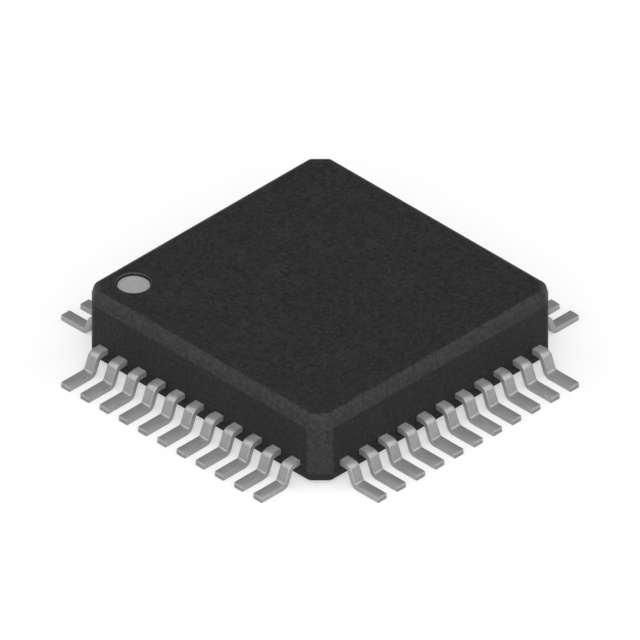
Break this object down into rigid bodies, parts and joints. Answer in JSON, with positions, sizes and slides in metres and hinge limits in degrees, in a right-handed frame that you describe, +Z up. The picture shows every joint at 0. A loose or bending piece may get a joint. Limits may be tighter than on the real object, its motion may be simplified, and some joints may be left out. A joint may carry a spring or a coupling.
{
  "type": "integrated circuit",
  "caption": "Square flat integrated circuit package for surface mounting: black moulded body, rows of gull-wing leads on all four sides, pale dot marking the first lead.",
  "frame": {"origin": "centre of the footprint, in the plane of the soldered feet", "axes": "+Z up from the board; the first lead is in the -X -Y corner at the left end of the -Y row, and counting goes counter-clockwise seen from above"},
  "size_m": [0.0132, 0.0132, 0.0024],
  "materials": {
    "mould_compound": "matte, finely grained",
    "tinned_lead": "satin tin plating",
    "mark_ink": "matte ink",
    "leadframe_alloy": "satin copper alloy",
    "die_glue": "silver-filled, matte",
    "silicon": "polished silicon",
    "gold_wire": "bright gold"
  },
  "bodies": {
    "root": {"mould_body": "mould_compound", "pin_one_mark": "mark_ink", "die_paddle": "leadframe_alloy", "die_glue": "die_glue", "silicon_die": "silicon", "bond_wires_front": "gold_wire", "bond_wires_right": "gold_wire", "bond_wires_back": "gold_wire", "bond_wires_left": "gold_wire", "lead_01": "tinned_lead", "lead_02": "tinned_lead", "lead_03": "tinned_lead", "lead_04": "tinned_lead", "lead_05": "tinned_lead", "lead_06": "tinned_lead", "lead_07": "tinned_lead", "lead_08": "tinned_lead", "lead_09": "tinned_lead", "lead_10": "tinned_lead", "lead_11": "tinned_lead", "lead_12": "tinned_lead", "lead_13": "tinned_lead", "lead_14": "tinned_lead", "lead_15": "tinned_lead", "lead_16": "tinned_lead", "lead_17": "tinned_lead", "lead_18": "tinned_lead", "lead_19": "tinned_lead", "lead_20": "tinned_lead", "lead_21": "tinned_lead", "lead_22": "tinned_lead", "lead_23": "tinned_lead", "lead_24": "tinned_lead", "lead_25": "tinned_lead", "lead_26": "tinned_lead", "lead_27": "tinned_lead", "lead_28": "tinned_lead", "lead_29": "tinned_lead", "lead_30": "tinned_lead", "lead_31": "tinned_lead", "lead_32": "tinned_lead", "lead_33": "tinned_lead", "lead_34": "tinned_lead", "lead_35": "tinned_lead", "lead_36": "tinned_lead", "lead_37": "tinned_lead", "lead_38": "tinned_lead", "lead_39": "tinned_lead", "lead_40": "tinned_lead", "lead_41": "tinned_lead", "lead_42": "tinned_lead", "lead_43": "tinned_lead", "lead_44": "tinned_lead"}
  },
  "joints": []
}
